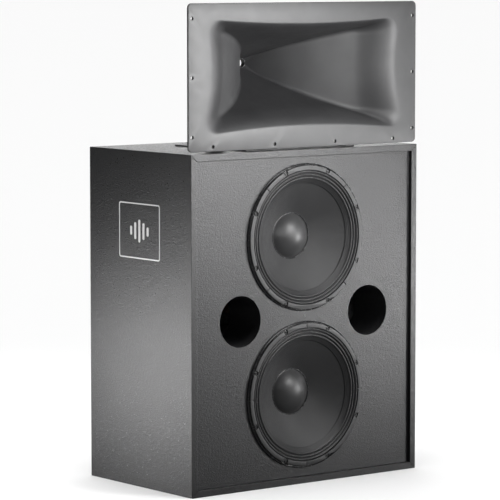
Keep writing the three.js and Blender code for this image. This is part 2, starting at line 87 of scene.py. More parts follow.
def place_camera():
    """A long lens, to the left of the object and a little above its middle."""
    data = bpy.data.cameras.new("camera")
    data.lens = CAMERA_LENS
    data.sensor_width = 36
    data.clip_end = 2000
    camera = bpy.data.objects.new("camera", data)
    bpy.context.scene.collection.objects.link(camera)
    level = math.cos(CAMERA_ELEVATION)
    back = Vector((
        math.sin(CAMERA_AZIMUTH) * level,
        -math.cos(CAMERA_AZIMUTH) * level,
        math.sin(CAMERA_ELEVATION),
    ))
    camera.location = CAMERA_TARGET + back * CAMERA_DISTANCE
    camera.rotation_euler = (-back).to_track_quat("-Z", "Y").to_euler()
    bpy.context.scene.camera = camera


# ---- Places, read from the frame ----

def corners(node):
    """The lowest and the highest corner of a CAD node."""
    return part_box(node)


def middle_of(node):
    low, high = corners(node)
    return (low + high) / 2


BAFFLE_FRONT = corners("front_baffle")[0].y
CABINET_FRONT = corners("top_panel")[0].y
WOOFER_Z = {where: middle_of(f"{where}_basket").z for where in ("upper", "lower")}
PORT_CENTRES = {side: middle_of(f"port_tube_{side}") for side in ("left", "right")}
PORT_BORE = 66.5 * MM
PORT_WALL = 3.5 * MM
WOOFER_RIM = (corners("upper_basket")[1].x - corners("upper_basket")[0].x) / 2
WOOFER_CUTOUT = 177 * MM
SCREW_CIRCLE = 183 * MM
SCREWS = 8
FIRST_SCREW = 22.5


def facing_front(x, y, z):
    """A frame whose local Z points out of the front and whose local Y points up."""
    return Matrix.Translation((x, y, z)) @ Matrix.Rotation(math.pi / 2, 4, "X")


def facing_back(x, y, z):
    """A frame whose local Z points out of the back."""
    return Matrix.Translation((x, y, z)) @ Matrix.Rotation(-math.pi / 2, 4, "X")


# ---- Materials ----

class Shader:
    """A Principled material with a few short ways to add procedural detail."""

    def __init__(self, name, colour, roughness, metallic=0.0, **sockets):
        self.material = bpy.data.materials.new(name)
        self.material.use_nodes = True
        self.tree = self.material.node_tree
        self.surface = self.tree.nodes["Principled BSDF"]
        self.set("Base Color", (*colour, 1))
        self.set("Roughness", roughness)
        self.set("Metallic", metallic)
        for socket, value in sockets.items():
            self.set(socket.replace("_", " "), value)
        self.place = self.tree.nodes.new("ShaderNodeTexCoord").outputs["Object"]

    def set(self, socket, value):
        self.surface.inputs[socket].default_value = value

    def link(self, output, target):
        self.tree.links.new(output, target)

    def node(self, kind, **inputs):
        made = self.tree.nodes.new(kind)
        for socket, value in inputs.items():
            made.inputs[socket.replace("_", " ")].default_value = value
        return made

    def stretched(self, scale):
        mapping = self.node("ShaderNodeMapping", Scale=scale)
        self.link(self.place, mapping.inputs["Vector"])
        return mapping.outputs["Vector"]

    def noise(self, scale, detail=3.0, roughness=0.55, place=None):
        made = self.node("ShaderNodeTexNoise", Scale=scale, Detail=detail, Roughness=roughness)
        self.link(place or self.place, made.inputs["Vector"])
        return made.outputs["Fac"]

    def maths(self, operation, first, second=0.0):
        made = self.tree.nodes.new("ShaderNodeMath")
        made.operation = operation
        for socket, value in zip(made.inputs, (first, second)):
            if isinstance(value, (int, float)):
                socket.default_value = value
            else:
                self.link(value, socket)
        return made.outputs[0]

    def ranged(self, value, low, high, from_low=0.3, from_high=0.7):
        """value, spread from its own range to low...high. Noise stays mostly within 0.3...0.7."""
        made = self.node(
            "ShaderNodeMapRange", From_Min=from_low, From_Max=from_high, To_Min=low, To_Max=high
        )
        self.link(value, made.inputs["Value"])
        return made.outputs["Result"]

    def blend(self, factor, first, second):
        made = self.tree.nodes.new("ShaderNodeMix")
        made.data_type = "RGBA"
        self.link(factor, made.inputs["Factor"])
        made.inputs["A"].default_value = (*first, 1)
        made.inputs["B"].default_value = (*second, 1)
        return made.outputs["Result"]

    def colour_by(self, value, first, second, low=0.35, high=0.65):
        factor = self.ranged(value, 0, 1, low, high)
        self.link(self.blend(factor, first, second), self.surface.inputs["Base Color"])

    def rough_by(self, value, low, high):
        self.link(self.ranged(value, low, high), self.surface.inputs["Roughness"])

    def bump(self, height, strength, distance):
        """Adds relief to the surface, over any relief that it already has."""
        made = self.node("ShaderNodeBump", Strength=strength, Distance=distance)
        self.link(height, made.inputs["Height"])
        normal = self.surface.inputs["Normal"]
        if normal.links:
            self.link(normal.links[0].from_socket, made.inputs["Normal"])
        self.link(made.outputs["Normal"], normal)


def cabinet_paint():
    """Black textured paint: a fine pebbled grain, with faint cloudiness in tone and gloss."""
    shader = Shader("cabinet_paint", (0.01, 0.01, 0.0105), 0.36, Specular_IOR_Level=0.42)
    grain = shader.noise(330, 2, 0.7)
    shader.colour_by(shader.noise(560, 2, 0.6), (0.006, 0.006, 0.0065), (0.018, 0.018, 0.019))
    shader.rough_by(shader.noise(210, 3, 0.7), 0.27, 0.43)
    shader.bump(grain, 0.6, 1.6 * MM)
    shader.bump(shader.noise(150, 2, 0.6), 0.35, 1.6 * MM)
    return shader.material


def horn_plastic():
    """Dark grey moulded plastic with a satin skin."""
    shader = Shader("horn_plastic", (0.018, 0.018, 0.019), 0.52, Specular_IOR_Level=0.7)
    shader.colour_by(shader.noise(14, 4), (0.014, 0.014, 0.015), (0.02, 0.02, 0.021))
    shader.rough_by(shader.noise(40, 4), 0.5, 0.55)
    shader.bump(shader.noise(700, 2, 0.6), 0.12, 0.4 * MM)
    return shader.material


def powder_coat(name, colour, roughness):
    """Baked paint on metal, or any other hard skin with a very fine grain."""
    shader = Shader(name, colour, roughness, Specular_IOR_Level=0.55)
    lighter = tuple(channel * 1.35 for channel in colour)
    shader.colour_by(shader.noise(90, 4), colour, lighter)
    shader.rough_by(shader.noise(60, 3), roughness - 0.05, roughness + 0.08)
    shader.bump(shader.noise(900, 2, 0.6), 0.25, 0.3 * MM)
    return shader.material


def metal(name, colour, roughness, streaks=(400, 400, 12)):
    """Plain metal with fine drawn streaks and a faintly dulled film."""
    shader = Shader(name, colour, roughness, 1.0)
    darker = tuple(channel * 0.78 for channel in colour)
    streak = shader.noise(1.0, 3, 0.6, shader.stretched(streaks))
    shader.colour_by(shader.noise(35, 4), darker, colour)
    shader.rough_by(streak, roughness - 0.08, roughness + 0.1)
    shader.bump(streak, 0.12, 0.15 * MM)
    return shader.material


def plain_plastic(name, colour, roughness):
    """Moulded plastic, slightly uneven in tone and gloss."""
    shader = Shader(name, colour, roughness)
    lighter = tuple(min(1, channel * 1.2 + 0.003) for channel in colour)
    shader.colour_by(shader.noise(120, 3), colour, lighter)
    shader.rough_by(shader.noise(200, 3), roughness - 0.05, roughness + 0.06)
    shader.bump(shader.noise(1100, 2), 0.15, 0.25 * MM)
    return shader.material


CONE_NECK = 51 * MM
CONE_FOOT = 58 * MM
CONE_EDGE = 152 * MM
THREADS_ROUND = 132.0
THREAD_PITCH = 4.4 * MM


def cone_paper():
    """Coated paper pressed with a diagonal weave, laid out round the cone's axis. The dust cap is plain."""
    shader = Shader("cone_paper", (0.02, 0.02, 0.021), 0.42, Specular_IOR_Level=0.45)
    split = shader.tree.nodes.new("ShaderNodeSeparateXYZ")
    shader.link(shader.place, split.inputs[0])
    x, y = split.outputs["X"], split.outputs["Y"]
    angle = shader.maths("MULTIPLY", shader.maths("ARCTAN2", y, x), THREADS_ROUND)
    squares = shader.maths("ADD", shader.maths("MULTIPLY", x, x), shader.maths("MULTIPLY", y, y))
    radius = shader.maths("SQRT", squares)
    turn = shader.maths("MULTIPLY", radius, 2 * math.pi / THREAD_PITCH)
    threads = [shader.maths("SINE", shader.maths(way, angle, turn)) for way in ("ADD", "SUBTRACT")]
    weave = shader.maths("MULTIPLY", *threads)
    on_cone = shader.ranged(radius, 0, 1, CONE_FOOT, CONE_FOOT + 4 * MM)
    grid = shader.maths("MULTIPLY", weave, on_cone)
    shader.colour_by(grid, (0.014, 0.014, 0.0145), (0.034, 0.034, 0.035), -0.9, 0.9)
    shader.rough_by(shader.noise(25, 4), 0.36, 0.48)
    shader.bump(grid, 0.35, 0.7 * MM)
    shader.bump(shader.noise(500, 3), 0.15, 0.3 * MM)
    return shader.material


def woven(name, colour, roughness, pitch, sheen):
    """Cloth: crossed sets of threads, with loose fibre over them."""
    shader = Shader(name, colour, roughness, Sheen_Weight=sheen, Sheen_Roughness=0.5)
    lighter = tuple(channel * 1.8 for channel in colour)
    split = shader.tree.nodes.new("ShaderNodeSeparateXYZ")
    shader.link(shader.place, split.inputs[0])
    turns = 2 * math.pi / pitch
    waves = [
        shader.maths("SINE", shader.maths("MULTIPLY", split.outputs[axis], turns)) for axis in "XYZ"
    ]
    weave = shader.maths("ADD", shader.maths("ADD", waves[0], waves[1]), waves[2])
    shader.colour_by(weave, colour, lighter, -2, 2)
    shader.bump(weave, 0.3, 0.3 * MM)
    shader.bump(shader.noise(260, 4), 0.3, 0.5 * MM)
    return shader.material


def gasket_card():
    """Pressed fibre board with a dusty black face."""
    shader = Shader("gasket_card", (0.02, 0.02, 0.021), 0.5)
    shader.colour_by(shader.noise(300, 4), (0.006, 0.006, 0.0065), (0.018, 0.018, 0.019))
    shader.bump(shader.noise(650, 4), 0.4, 0.5 * MM)
    return shader.material


def wood():
    """Raw timber with its rings drawn out along the brace."""
    shader = Shader("bare_wood", (0.5, 0.36, 0.22), 0.7)
    rings = shader.noise(1.0, 5, 0.6, shader.stretched((160, 6, 160)))
    shader.colour_by(rings, (0.42, 0.28, 0.16), (0.6, 0.45, 0.29))
    shader.bump(rings, 0.3, 0.4 * MM)
    return shader.material


def felt():
    """Loose grey fibre."""
    shader = Shader("lining_felt", (0.2, 0.2, 0.21), 0.95, Sheen_Weight=0.4, Sheen_Roughness=0.6)
    shader.colour_by(shader.noise(180, 6, 0.7), (0.12, 0.12, 0.13), (0.3, 0.3, 0.31))
    shader.bump(shader.noise(320, 6, 0.7), 0.8, 2 * MM)
    return shader.material


def circuit_board():
    """Lacquered green board, patterned in rectangles like broad tracks."""
    shader = Shader("circuit_board", (0.03, 0.12, 0.06), 0.35, Coat_Weight=0.4)
    tracks = shader.node("ShaderNodeTexBrick", Scale=40.0)
    shader.link(shader.place, tracks.inputs["Vector"])
    tracks.inputs["Color1"].default_value = (0.03, 0.13, 0.06, 1)
    tracks.inputs["Color2"].default_value = (0.04, 0.16, 0.08, 1)
    tracks.inputs["Mortar"].default_value = (0.02, 0.08, 0.04, 1)
    shader.link(tracks.outputs["Color"], shader.surface.inputs["Base Color"])
    shader.bump(tracks.outputs["Fac"], 0.2, 0.2 * MM)
    return shader.material


def wound_copper():
    """Enamelled wire: fine turns side by side."""
    shader = Shader("copper", (0.62, 0.28, 0.12), 0.3, 0.85, Coat_Weight=0.5)
    turns = shader.noise(1.0, 2, 0.5, shader.stretched((40, 900, 40)))
    shader.colour_by(turns, (0.4, 0.16, 0.07), (0.72, 0.36, 0.16))
    shader.bump(turns, 0.5, 0.4 * MM)
    return shader.material


def printed_white():
    """White ink over the grain of the paint."""
    shader = Shader("badge_print", (0.82, 0.82, 0.81), 0.45)
    shader.colour_by(shader.noise(300, 3), (0.76, 0.76, 0.755), (0.86, 0.86, 0.85))
    shader.bump(shader.noise(330, 2, 0.7), 0.2, 0.4 * MM)
    return shader.material


MATERIALS = {
    "cabinet_paint": cabinet_paint(),
    "bare_wood": wood(),
    "horn_plastic": horn_plastic(),
    "steel_paint": powder_coat("steel_paint", (0.018, 0.018, 0.019), 0.42),
    "cast_frame": powder_coat("cast_frame", (0.012, 0.012, 0.013), 0.24),
    "plain_steel": metal("plain_steel", (0.4, 0.41, 0.42), 0.42),
    "ferrite": powder_coat("ferrite", (0.035, 0.035, 0.038), 0.7),
    "cone_paper": cone_paper(),
    "surround_cloth": woven("surround_cloth", (0.006, 0.006, 0.0065), 0.42, 2.4 * MM, 0.05),
    "gasket_card": gasket_card(),
    "lining_felt": felt(),
    "black_plastic": plain_plastic("black_plastic", (0.012, 0.012, 0.013), 0.42),
    "red_plastic": plain_plastic("red_plastic", (0.45, 0.015, 0.015), 0.3),
    "brass": metal("brass", (0.8, 0.6, 0.26), 0.22),
    "copper": wound_copper(),
    "cable_jacket": plain_plastic("cable_jacket", (0.02, 0.02, 0.02), 0.5),
    "circuit_board": circuit_board(),
    "badge_print": printed_white(),
}


# ---- Mesh helpers ----

def mesh_by(name, build):
    """A mesh made by a function that fills a bmesh."""
    shape = bmesh.new()
    build(shape)
    bmesh.ops.recalc_face_normals(shape, faces=shape.faces)
    mesh = bpy.data.meshes.new(name)
    shape.to_mesh(mesh)
    shape.free()
    return mesh


def add_piece(name, mesh, slot, body="cabinet", matrix=None, replaces=(), sharp=32):
    """A smooth piece that rides on a body. Edges that turn by more than sharp degrees stay hard."""
    piece = bpy.data.objects.new(name, mesh)
    bpy.context.scene.collection.objects.link(piece)
    if matrix is not None:
        piece.matrix_world = matrix
    mesh.materials.clear()
    mesh.materials.append(MATERIALS[slot])
    mesh.polygons.foreach_set("use_smooth", [True] * len(mesh.polygons))
    mesh.set_sharp_from_angle(angle=math.radians(sharp))
    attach(piece, body)
    if replaces:
        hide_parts(*replaces)
    return piece


def flatten(piece):
    """Keeps the wide faces of a piece flat in the light, and lets only its rounded edges turn."""
    modifier = piece.modifiers.new("flat_faces", "WEIGHTED_NORMAL")
    modifier.weight = 100
    modifier.keep_sharp = True
    return piece


def arc(centre, radius, start, end, steps):
    """Points on an arc, from start to end, in degrees."""
    angles = np.radians(np.linspace(start, end, steps + 1))
    return [(centre[0] + radius * math.cos(a), centre[1] + radius * math.sin(a)) for a in angles]


def circle(centre, radius, steps=72):
    return arc(centre, radius, 0, 360, steps)[:-1]


def rounded_box(low, high, radius, steps=8):
    """A rectangle from low to high with round corners."""
    (x0, y0), (x1, y1) = low, high
    return [
        *arc((x1 - radius, y0 + radius), radius, -90, 0, steps),
        *arc((x1 - radius, y1 - radius), radius, 0, 90, steps),
        *arc((x0 + radius, y1 - radius), radius, 90, 180, steps),
        *arc((x0 + radius, y0 + radius), radius, 180, 270, steps),
    ]


def plate_mesh(name, loops, low, high, edge):
    """A flat plate with holes, from height low to high in its own frame. Its edges are rounded by edge."""
    curve = bpy.data.curves.new(name, "CURVE")
    curve.dimensions = "2D"
    curve.fill_mode = "BOTH"
    curve.extrude = (high - low) / 2 - edge
    curve.bevel_depth = edge
    curve.bevel_resolution = 2
    curve.offset = -edge
    for loop in loops:
        spline = curve.splines.new("POLY")
        spline.points.add(len(loop) - 1)
        spline.points.foreach_set("co", [c for x, y in loop for c in (x, y, 0, 1)])
        spline.use_cyclic_u = True
    holder = bpy.data.objects.new(name, curve)
    mesh = bpy.data.meshes.new_from_object(holder)
    bpy.data.objects.remove(holder)
    bpy.data.curves.remove(curve)
    mesh.transform(Matrix.Translation((0, 0, (low + high) / 2)))
    shape = bmesh.new()
    shape.from_mesh(mesh)
    bmesh.ops.remove_doubles(shape, verts=shape.verts, dist=1e-6)
    bmesh.ops.recalc_face_normals(shape, faces=shape.faces)
    shape.to_mesh(mesh)
    shape.free()
    return mesh


def rounded_profile(profile, radius, steps=3):
    """A closed profile of (radius, height) points with its corners rounded."""
    rounded = []
    count = len(profile)
    for i, corner in enumerate(profile):
        here = Vector(corner)
        before = Vector(profile[i - 1]) - here
        after = Vector(profile[(i + 1) % count]) - here
        reach = min(radius, before.length / 2.2, after.length / 2.2)
        start = here + before.normalized() * reach
        end = here + after.normalized() * reach
        for step in range(steps + 1):
            t = step / steps
            rounded.append((1 - t) ** 2 * start + 2 * t * (1 - t) * here + t * t * end)
    return [tuple(p) for p in rounded]


def lathe_mesh(name, profile, steps=128, closed=True):
    """A profile of (radius, height) turned round local Z. An open profile starts and ends on the axis."""
    def build(shape):
        rings = []
        for radius, height in profile:
            if radius < 1e-6:
                rings.append([shape.verts.new((0, 0, height))])
                continue
            rings.append([
                shape.verts.new((radius * math.cos(a), radius * math.sin(a), height))
                for a in np.linspace(0, 2 * math.pi, steps, endpoint=False)
            ])
        pairs = list(zip(rings, rings[1:]))
        if closed:
            pairs.append((rings[-1], rings[0]))
        for first, second in pairs:
            for i in range(steps):
                j = (i + 1) % steps
                loop = [ring[k % len(ring)] for ring, k in ((first, i), (first, j), (second, j), (second, i))]
                unique = list(dict.fromkeys(loop))
                if len(unique) > 2:
                    shape.faces.new(unique)
    return mesh_by(name, build)


def cut_away(mesh, cutters, self_union=False):
    """mesh with each cutter mesh taken out of it."""
    holder = bpy.data.objects.new("holder", mesh)
    tool_mesh = bpy.data.meshes.new("tools")
    shape = bmesh.new()
    for cutter in cutters:
        shape.from_mesh(cutter)
        bpy.data.meshes.remove(cutter)
    shape.to_mesh(tool_mesh)
    shape.free()
    tool = bpy.data.objects.new("tools", tool_mesh)
    for made in (holder, tool):
        bpy.context.scene.collection.objects.link(made)
    modifier = holder.modifiers.new("cut", "BOOLEAN")
    modifier.object = tool
    modifier.solver = "EXACT"
    modifier.use_self = self_union
    depsgraph = bpy.context.evaluated_depsgraph_get()
    result = bpy.data.meshes.new_from_object(holder.evaluated_get(depsgraph))
    for made in (holder, tool):
        bpy.data.objects.remove(made)
    bpy.data.meshes.remove(tool_mesh)
    return result


def softened(node, name, width, segments=2):
    """A copy of a CAD node with its hard edges rounded, which stands for the node."""
    hard_turn = math.radians(40)
    mesh = frame["nodes"][node].data.copy()
    shape = bmesh.new()
    shape.from_mesh(mesh)
    bmesh.ops.remove_doubles(shape, verts=shape.verts, dist=1e-6)
    bmesh.ops.dissolve_limit(shape, angle_limit=math.radians(1), verts=shape.verts, edges=shape.edges)
    hard = [e for e in shape.edges if len(e.link_faces) == 2 and e.calc_face_angle() > hard_turn]
    bmesh.ops.bevel(
        shape, geom=hard, offset=width, segments=segments, profile=0.5, affect="EDGES", clamp_overlap=True
    )
    shape.to_mesh(mesh)
    shape.free()
    body = frame["nodes"][node]["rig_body"]
    return flatten(add_piece(name, mesh, SLOT_OF[node], body, replaces=(node,)))


# ---- Cabinet ----

def cabinet():
    for node in ("left_side_panel", "right_side_panel", "top_panel", "bottom_panel"):
        softened(node, node.replace("_panel", "_board"), 0.9 * MM)
    baffle()
    rear()
    brace_screw()


def brace_screw():
    """A countersunk head with a round recess. Its middle is left open by a tenth of a millimetre."""
    near_axis = 0.1 * MM
    profile = rounded_profile([
        (near_axis, -3 * MM), (2.2 * MM, -3 * MM), (4.2 * MM, -0.6 * MM), (4.2 * MM, 0.1 * MM),
        (1.6 * MM, 0.3 * MM), (1.5 * MM, -1.2 * MM), (near_axis, -1.6 * MM),
    ], 0.2 * MM)
    head = lathe_mesh("brace_screw_head", profile, 32)
    centre = middle_of("brace_screw")
    place = facing_front(centre.x, BAFFLE_FRONT, centre.z)
    add_piece("brace_screw_head", head, "steel_paint", matrix=place)


def baffle():
    low, high = corners("front_baffle")
    loops = [[(low.x, low.z), (high.x, low.z), (high.x, high.z), (low.x, high.z)]]
    loops += [circle((0, z), WOOFER_CUTOUT, 128) for z in WOOFER_Z.values()]
    loops += [circle((p.x, p.z), PORT_BORE, 128) for p in PORT_CENTRES.values()]
    centre = middle_of("brace_screw")
    loops.append(circle((centre.x, centre.z), 4.3 * MM, 32))
    mesh = plate_mesh("baffle_board", loops, low.y - high.y, 0, 0.8 * MM)
    place = facing_front(0, low.y, 0)
    flatten(add_piece("baffle_board", mesh, "cabinet_paint", matrix=place, replaces=("front_baffle",)))


def ports():
    outside = PORT_BORE + PORT_WALL
    for side, centre in PORT_CENTRES.items():
        low, high = corners(f"port_tube_{side}")
        profile = rounded_profile([
            (PORT_BORE, low.y), (outside, low.y), (outside, high.y), (PORT_BORE, high.y),
        ], 1.2 * MM)
        profile = [(radius, BAFFLE_FRONT - y) for radius, y in profile]
        mesh = lathe_mesh(f"port_sleeve_{side}", profile, 96)
        add_piece(
            f"port_sleeve_{side}", mesh, "black_plastic",
            matrix=facing_front(centre.x, BAFFLE_FRONT, centre.z), replaces=(f"port_tube_{side}",),
        )


def badge():
    """A thin white outline round a row of level bars, on the left side."""
    low, high = corners("side_badge")
    centre = (low + high) / 2
    stroke = 3.4 * MM
    half_y, half_z = (high.y - low.y) / 2, (high.z - low.z) / 2
    loops = [
        rounded_box((-half_y, -half_z), (half_y, half_z), 7 * MM),
        rounded_box((stroke - half_y, stroke - half_z), (half_y - stroke, half_z - stroke), 4.5 * MM),
    ]
    bar_width, pitch = 9 * MM, 18 * MM
    heights = [24, 44, 60, 44, 24]
    for i, height in enumerate(heights):
        x = (i - (len(heights) - 1) / 2) * pitch
        half = height * MM / 2
        corner = bar_width / 2 - 0.1 * MM
        loops.append(rounded_box((x - bar_width / 2, -half), (x + bar_width / 2, half), corner))
    thickness = high.x - low.x
    mesh = plate_mesh("side_mark", loops, 0, thickness, 0.15 * MM)
    turn = Matrix(((0, 0, -1, 0), (-1, 0, 0, 0), (0, 1, 0, 0), (0, 0, 0, 1)))
    place = Matrix.Translation((high.x, centre.y, centre.z)) @ turn
    add_piece("side_mark", mesh, "badge_print", matrix=place, replaces=("side_badge",))


def rear():
    """The rear panel, with a row of screws along each edge."""
    softened("rear_panel", "rear_board", 0.9 * MM)
    low, high = corners("rear_panel")
    inset = 14 * MM
    xs = np.linspace(low.x + inset, high.x - inset, 5)
    zs = np.linspace(low.z + inset, high.z - inset, 5)
    spots = {(round(x, 4), round(z, 4)) for x in xs for z in (zs[0], zs[-1])}
    spots |= {(round(x, 4), round(z, 4)) for x in (xs[0], xs[-1]) for z in zs}
    for i, (x, z) in enumerate(sorted(spots)):
        place = facing_back(x, high.y, z)
        add_piece(f"rear_screw_{i + 1:02d}", screw_head(4 * MM), "steel_paint", matrix=place)


def screw_head(radius):
    """A flush countersunk head with a cross recess."""
    profile = rounded_profile([
        (0, -1.5 * MM), (radius * 0.6, -1.5 * MM), (radius, -0.2 * MM), (radius, 0.0), (radius * 0.2, 0.0),
        (0, 0.0),
    ], 0.15 * MM)[2:-2]
    profile = [(0, -1.5 * MM), *profile, (0, 0.0)]
    head = lathe_mesh("screw", profile, 32, closed=False)
    slots = [slab((radius * 0.62, 0.5 * MM, 0.9 * MM)), slab((0.5 * MM, radius * 0.62, 0.9 * MM))]
    return cut_away(head, slots, self_union=True)


def slab(half):
    """A block given by its half sizes, for cutting."""
    def build(shape):
        bmesh.ops.create_cube(shape, size=2)
        bmesh.ops.scale(shape, vec=half, verts=shape.verts)
    return mesh_by("slab", build)


# ---- Woofers ----

CONE_SLOPE = 0.674
CONE_BOW = 1.6 * MM
PLEATS_EDGE = 176 * MM
PLEATS_LAND = 5.2 * MM  # height of the flat ring of cloth that is glued to the frame
PLEATS_OVER_CONE = 0.7 * MM
SPIDER = (54 * MM, 88 * MM)
SPIDER_HEIGHT = -81 * MM
GASKET = (176.7 * MM, 188.2 * MM)
GASKET_FOOT = 4.6 * MM
DUST_CAP_RISE = 24 * MM


def cone_height(radius):
    """Height of the cone's front face over the front of the baffle; it is negative, as the cone goes in."""
    share = min(1, max(0, (radius - CONE_FOOT) / (CONE_EDGE - CONE_FOOT)))
    return 1 * MM - (CONE_EDGE - radius) * CONE_SLOPE - CONE_BOW * math.sin(math.pi * share)


def surround_height(radius):
    """The pleats: three rounded ridges between the frame and the cone."""
    if radius > PLEATS_EDGE:
        return PLEATS_LAND
    if radius < CONE_EDGE:
        return cone_height(radius) + PLEATS_OVER_CONE
    share = (radius - CONE_EDGE) / (PLEATS_EDGE - CONE_EDGE)
    base = (cone_height(CONE_EDGE) + PLEATS_OVER_CONE) * (1 - share) + PLEATS_LAND * share
    ridge = abs(math.sin(math.pi * 3 * share)) ** 1.2
    return base + 3.6 * MM * ridge - 0.9 * MM * math.sin(math.pi * share)


def spider_height(radius):
    """Five shallow waves between the voice coil and the frame."""
    inner, outer = SPIDER
    share = min(1, max(0, (radius - inner) / (outer - inner)))
    wave = 1.9 * MM * math.sin(2 * math.pi * 5 * share) * math.sin(math.pi * share)
    return SPIDER_HEIGHT + wave - 0.6 * MM * share


def sheet_profile(height_at, radii, thickness):
    """A thin skin over a height curve, as a closed profile."""
    top = [(r, height_at(r)) for r in radii]
    return top + [(r, h - thickness) for r, h in reversed(top)]


def basket(where, place):
    """The cast frame: a thin bright-edged rim, eight windows between its legs, and the seat of the magnet."""
    profile = rounded_profile([
        (172 * MM, 4.3 * MM), (188.4 * MM, 4.3 * MM), (189.2 * MM, 2.2 * MM), (190.6 * MM, 2.2 * MM),
        (190.9 * MM, 6.2 * MM), (WOOFER_RIM, 3.4 * MM), (WOOFER_RIM, 0.3 * MM),
        (174.5 * MM, 0.3 * MM), (173.5 * MM, -24 * MM), (112 * MM, -86 * MM), (104 * MM, -88 * MM),
        (104 * MM, -104 * MM), (56 * MM, -104 * MM), (56 * MM, -100 * MM), (98 * MM, -100 * MM),
        (98 * MM, -87 * MM), (90 * MM, -87 * MM), (90 * MM, -83 * MM), (107 * MM, -83 * MM),
        (169 * MM, -22 * MM),
    ], 1.2 * MM)
    body = lathe_mesh(f"{where}_frame", profile, 128)
    window = [rounded_box((-36 * MM, -79 * MM), (36 * MM, -34 * MM), 12 * MM)]
    outwards = Matrix(((0, 0, 1, 0), (1, 0, 0, 0), (0, 1, 0, 0), (0, 0, 0, 1)))
    cutters = []
    for i in range(SCREWS):
        opening = plate_mesh("window", window, 100 * MM, 190 * MM, 0.5 * MM)
        turn = Matrix.Rotation((i + 0.5) * 2 * math.pi / SCREWS, 4, "Z")
        opening.transform(turn @ outwards)
        cutters.append(opening)
    mesh = cut_away(body, cutters)
    add_piece(f"{where}_frame", mesh, "cast_frame", matrix=place, replaces=(f"{where}_basket",))


def gasket(where, place, joint_angle):
    """Four arcs of card, each with two notches that leave room for the screws."""
    inner, outer = GASKET
    notch, gap = 6.2 * MM, 0.2
    spread = math.degrees(notch / outer)
    step = 360 / SCREWS
    loops = []
    for quarter in range(4):
        start = joint_angle + quarter * 90 + gap
        end = joint_angle + (quarter + 1) * 90 - gap
        loop = []
        cursor = start
        screws = [FIRST_SCREW + step * k for k in range(2 * SCREWS)]
        for screw in [s for s in screws if start < s < end]:
            loop += arc((0, 0), outer, cursor, screw - spread, 16)
            spot = arc((0, 0), SCREW_CIRCLE, screw, screw, 1)[0]
            loop += arc(spot, notch, screw - 90, screw - 270, 11)
            cursor = screw + spread
        loop += arc((0, 0), outer, cursor, end, 16)
        loop += arc((0, 0), inner, end, start, 40)
        loops.append(loop)
    top = BAFFLE_FRONT - CABINET_FRONT - 0.2 * MM
    mesh = plate_mesh(f"{where}_gasket_arcs", loops, GASKET_FOOT, top, 0.5 * MM)
    add_piece(f"{where}_gasket_arcs", mesh, "gasket_card", matrix=place, replaces=(f"{where}_gasket",))


def woofer_screws(where, place):
    profile = rounded_profile([
        (1.6 * MM, 0), (4 * MM, 0), (4 * MM, 2.6 * MM), (3.2 * MM, 3.4 * MM), (1.9 * MM, 3.4 * MM),
        (1.6 * MM, 1.2 * MM),
    ], 0.4 * MM)
    for i, (x, y) in enumerate(arc((0, 0), SCREW_CIRCLE, FIRST_SCREW, FIRST_SCREW + 360, SCREWS)[:-1]):
        spot = Matrix.Translation((x, y, 4.4 * MM))
        mesh = lathe_mesh(f"{where}_screw_{i + 1}", profile, 24)
        add_piece(f"{where}_screw_{i + 1}", mesh, "steel_paint", matrix=place @ spot)


def blend_round(piece):
    """Moves piece's placement into its mesh, which keeps it where it is."""
    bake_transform(piece)


def woofer(where):
    centre = Vector((0, BAFFLE_FRONT, WOOFER_Z[where]))
    place = facing_front(*centre)
    moving = f"{where}_cone_assembly"
    basket(where, place)
    gasket(where, place, 45 if where == "upper" else 0)
    woofer_screws(where, place)
    cone(where, moving, place)
    surround(where, place)
    spider(where, place)


def cone(where, moving, place):
    """The paper cone, the dust cap, and the bead of glue round the cap."""
    radii = [CONE_NECK, *np.linspace(CONE_FOOT, CONE_EDGE, 40)]
    skin = lathe_mesh(f"{where}_cone_skin", sheet_profile(cone_height, radii, 1.5 * MM), 160)
    add_piece(f"{where}_cone_skin", skin, "cone_paper", moving, place, (f"{where}_cone",))

    dome = dust_cap_mesh(f"{where}_dome")
    add_piece(f"{where}_dome", dome, "cone_paper", moving, place, (f"{where}_dust_cap",))

    foot = cone_height(61 * MM)
    bead = rounded_profile([
        (59 * MM, foot), (60.4 * MM, foot + 1.4 * MM), (62 * MM, foot + 0.4 * MM),
        (61.6 * MM, foot - 1.2 * MM),
        (59.4 * MM, foot - 1.2 * MM),
    ], 0.4 * MM)
    add_piece(f"{where}_glue", lathe_mesh(f"{where}_glue", bead, 96), "cast_frame", moving, place)


def surround(where, place):
    """Pleated cloth, from its lap on the cone's edge to the frame."""
    radii = [
        *np.linspace(CONE_EDGE - 11 * MM, CONE_EDGE, 6),
        *np.linspace(CONE_EDGE + 0.5 * MM, PLEATS_EDGE, 60),
        *(PLEATS_EDGE + more * MM for more in (2, 6, 11)),
    ]
    pleats = lathe_mesh(f"{where}_pleats", sheet_profile(surround_height, radii, 0.8 * MM), 160)
    piece = add_piece(
        f"{where}_pleats", pleats, "surround_cloth", "cabinet", place, (f"{where}_surround",), 60
    )
    release(piece)
    blend_round(piece)


def spider(where, place):
    """The corrugated cloth that centres the voice coil."""
    inner, outer = SPIDER
    radii = np.linspace(inner - 3 * MM, outer + 9 * MM, 60)
    cloth = lathe_mesh(f"{where}_spider_cloth", sheet_profile(spider_height, radii, 0.7 * MM), 96)
    piece = add_piece(
        f"{where}_spider_cloth", cloth, "surround_cloth", "cabinet", place, (f"{where}_spider",), 60
    )
    release(piece)
    blend_round(piece)


def release(piece):
    """Takes a piece off the body it rides on, where it is."""
    world = piece.matrix_world.copy()
    piece.parent = None
    piece.matrix_world = world
    del piece["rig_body"]


